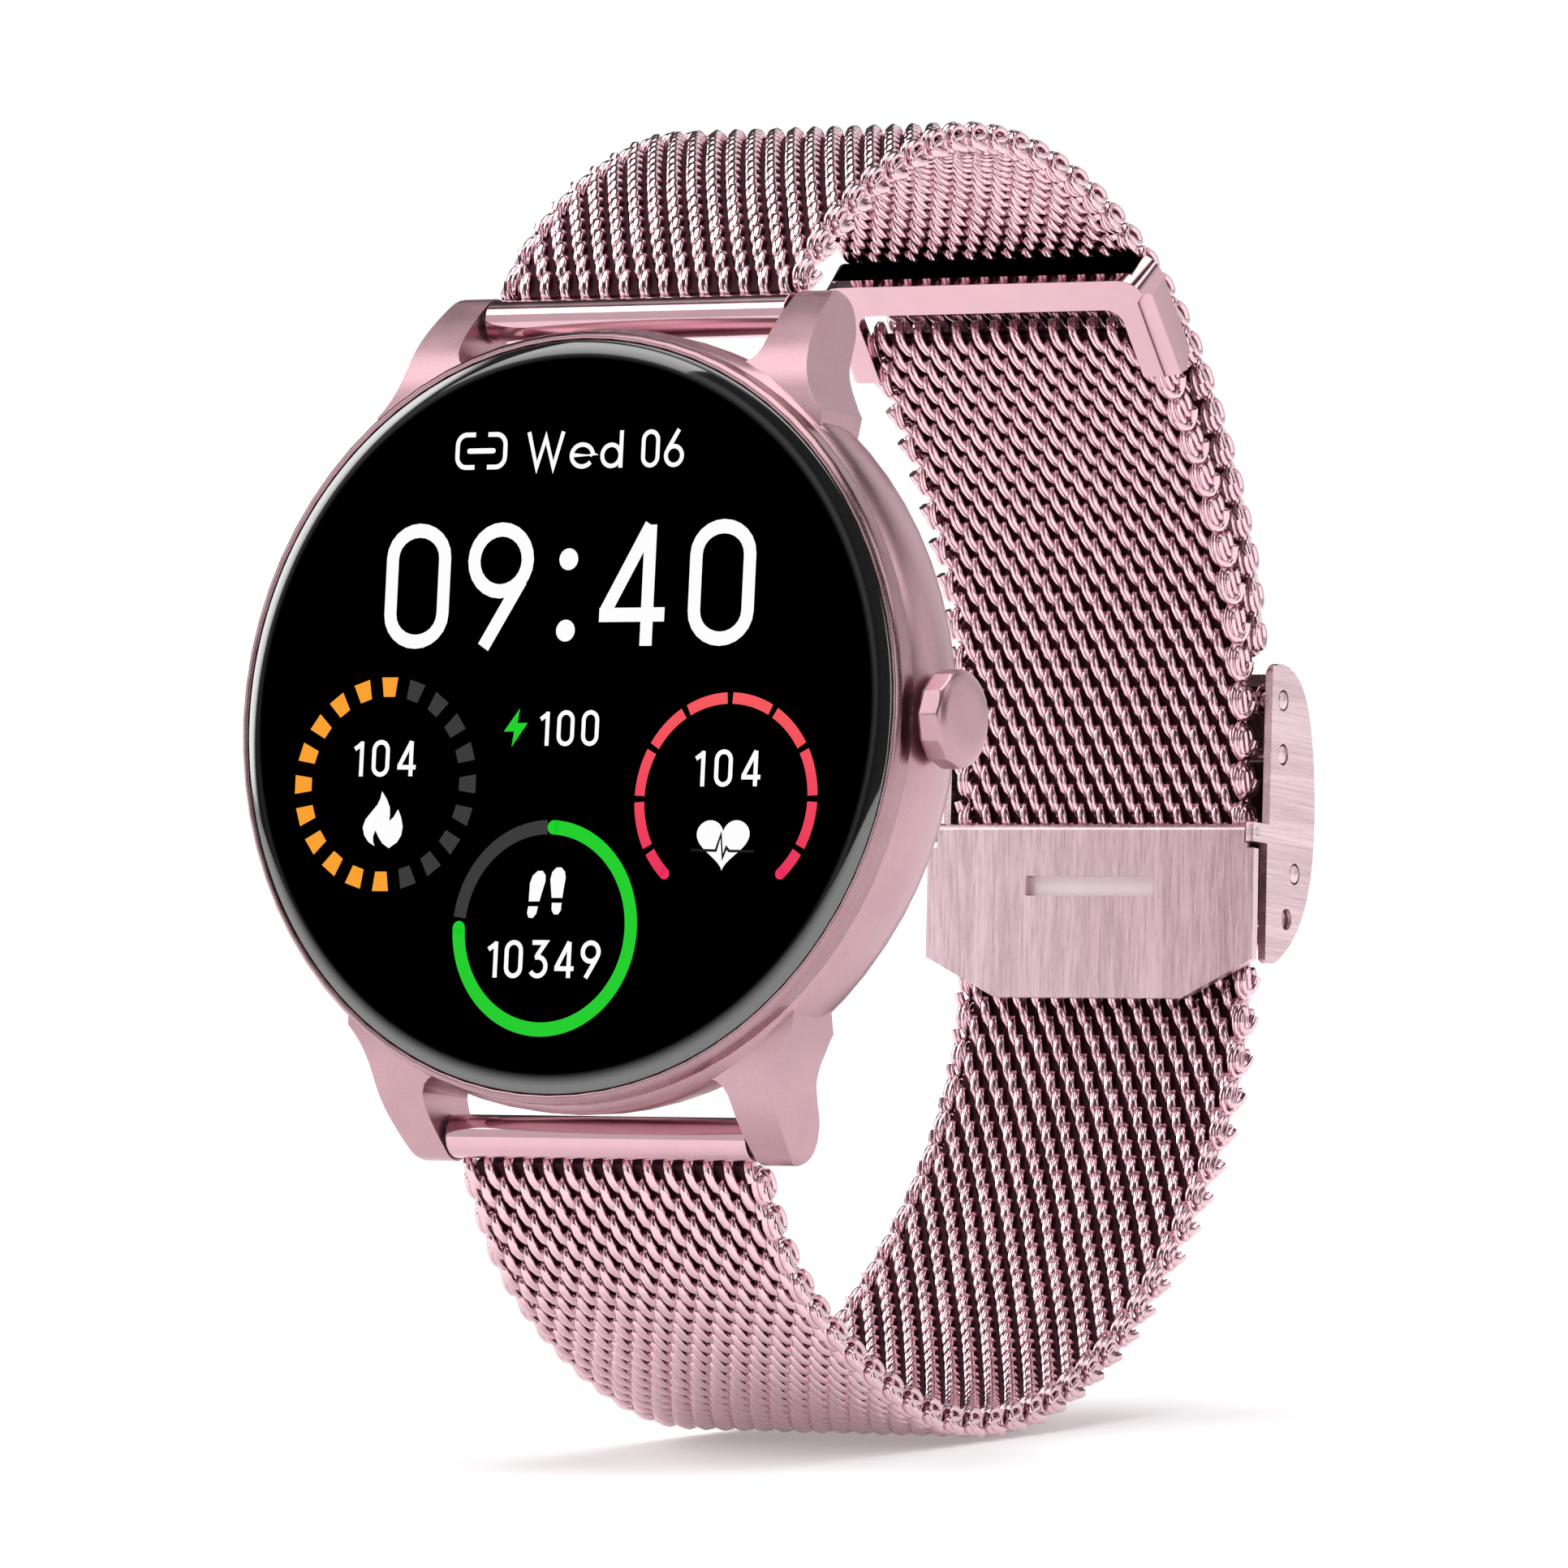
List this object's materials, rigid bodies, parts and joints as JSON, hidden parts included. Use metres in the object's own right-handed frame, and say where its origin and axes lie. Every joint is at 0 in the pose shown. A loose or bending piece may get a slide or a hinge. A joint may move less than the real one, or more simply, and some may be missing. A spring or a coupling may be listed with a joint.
{
  "type": "smartwatch",
  "caption": "Round smartwatch with a push-and-turn crown, on a woven metal mesh bracelet closed by a sliding clasp with a hinged lock plate.",
  "frame": {"origin": "centre of the flat sensor window on the back of the case, which rests on the wrist", "axes": "+Y out of the back of the case towards the wrist and the clasp, +Z towards 12 o'clock, +X towards 3 o'clock and the crown"},
  "size_m": [0.0469, 0.0679, 0.0761],
  "materials": {
    "satin_metal": "fine bead-blasted rose-pink anodised metal",
    "bezel_metal": "satin rose-pink ring, darker than the case",
    "glass": "clear strengthened glass with a rounded edge",
    "display": "black display panel, lit dial",
    "mesh_metal": "polished rose-pink steel wire mesh",
    "polished_metal": "mirror-polished rose-pink steel",
    "brushed_metal": "brushed rose-pink steel",
    "steel": "plain turned steel",
    "sensor_glass": "dark gloss sensor window",
    "dark_plastic": "black moulded plastic",
    "seal_rubber": "black rubber",
    "board": "green circuit board",
    "cell": "matt aluminium pouch",
    "gold": "gold-plated contact"
  },
  "bodies": {
    "case": {"case_middle": "satin_metal", "bezel_ring": "bezel_metal", "cover_glass": "glass", "display_panel": "display", "chassis_plate": "steel", "main_board": "board", "battery": "cell", "vibration_motor": "steel", "speaker_unit": "dark_plastic", "microphone_unit": "cell", "heart_rate_board": "board", "rear_cover": "satin_metal", "rear_gasket": "seal_rubber", "sensor_window": "sensor_glass", "charging_pin_left": "gold", "charging_pin_right": "gold", "rear_screw_1": "steel", "rear_screw_2": "steel", "rear_screw_3": "steel", "rear_screw_4": "steel", "crown_sleeve": "steel", "crown_switch": "dark_plastic", "upper_bar_tube": "steel", "lower_bar_tube": "steel"},
    "crown_carrier": {"crown_clip": "steel"},
    "crown": {"crown_stem": "steel", "crown_cap": "satin_metal"},
    "upper_tip_left": {"upper_bar_tip_left": "steel"},
    "upper_tip_right": {"upper_bar_tip_right": "steel"},
    "lower_tip_left": {"lower_bar_tip_left": "steel"},
    "lower_tip_right": {"lower_bar_tip_right": "steel"},
    "upper_strap": {"upper_end_tube": "polished_metal", "upper_mesh_strap": "mesh_metal", "upper_end_knuckle": "polished_metal", "clasp_cover": "brushed_metal", "clasp_knuckle_pin": "brushed_metal", "clasp_hook_pin": "brushed_metal", "clasp_guide_pin": "brushed_metal", "clasp_stop_pin": "brushed_metal", "lock_plate_pin": "steel"},
    "lower_strap": {"lower_end_tube": "polished_metal", "lower_mesh_strap": "mesh_metal", "tail_keeper": "polished_metal"},
    "lock": {"lock_plate": "brushed_metal"}
  },
  "joints": [
    {"name": "crown_push", "type": "slide", "parent": "case", "child": "crown_carrier", "axis": [-1, 0, 0], "range_m": [0, 0.00035], "stiffness_N_per_m": 2500, "springref_m": -0.0003},
    {"name": "crown_turn", "type": "hinge", "parent": "crown_carrier", "child": "crown", "pos_m": [0.0235, -0.0082, 0], "axis": [1, 0, 0], "continuous": true},
    {"name": "upper_strap_swing", "type": "hinge", "parent": "case", "child": "upper_strap", "pos_m": [0, -0.00485, 0.0234], "axis": [1, 0, 0], "range_deg": [0, 3]},
    {"name": "lower_strap_swing", "type": "hinge", "parent": "case", "child": "lower_strap", "pos_m": [0, -0.00485, -0.0234], "axis": [1, 0, 0], "range_deg": [-5.4, 0]},
    {"name": "lock_plate_open", "type": "hinge", "parent": "upper_strap", "child": "lock", "pos_m": [0, 0.04915, -0.00105], "axis": [-1, 0, 0], "range_deg": [0, 100]},
    {"name": "upper_bar_tip_left_press", "type": "slide", "parent": "case", "child": "upper_tip_left", "axis": [1, 0, 0], "range_m": [0, 0.00095], "stiffness_N_per_m": 600, "springref_m": -0.0008},
    {"name": "upper_bar_tip_right_press", "type": "slide", "parent": "case", "child": "upper_tip_right", "axis": [-1, 0, 0], "range_m": [0, 0.00095], "stiffness_N_per_m": 600, "springref_m": -0.0008},
    {"name": "lower_bar_tip_left_press", "type": "slide", "parent": "case", "child": "lower_tip_left", "axis": [1, 0, 0], "range_m": [0, 0.00095], "stiffness_N_per_m": 600, "springref_m": -0.0008},
    {"name": "lower_bar_tip_right_press", "type": "slide", "parent": "case", "child": "lower_tip_right", "axis": [-1, 0, 0], "range_m": [0, 0.00095], "stiffness_N_per_m": 600, "springref_m": -0.0008}
  ],
  "couplings": [
    {"joint": "lower_strap_swing", "follows": "upper_strap_swing", "ratio": -1.8}
  ]
}
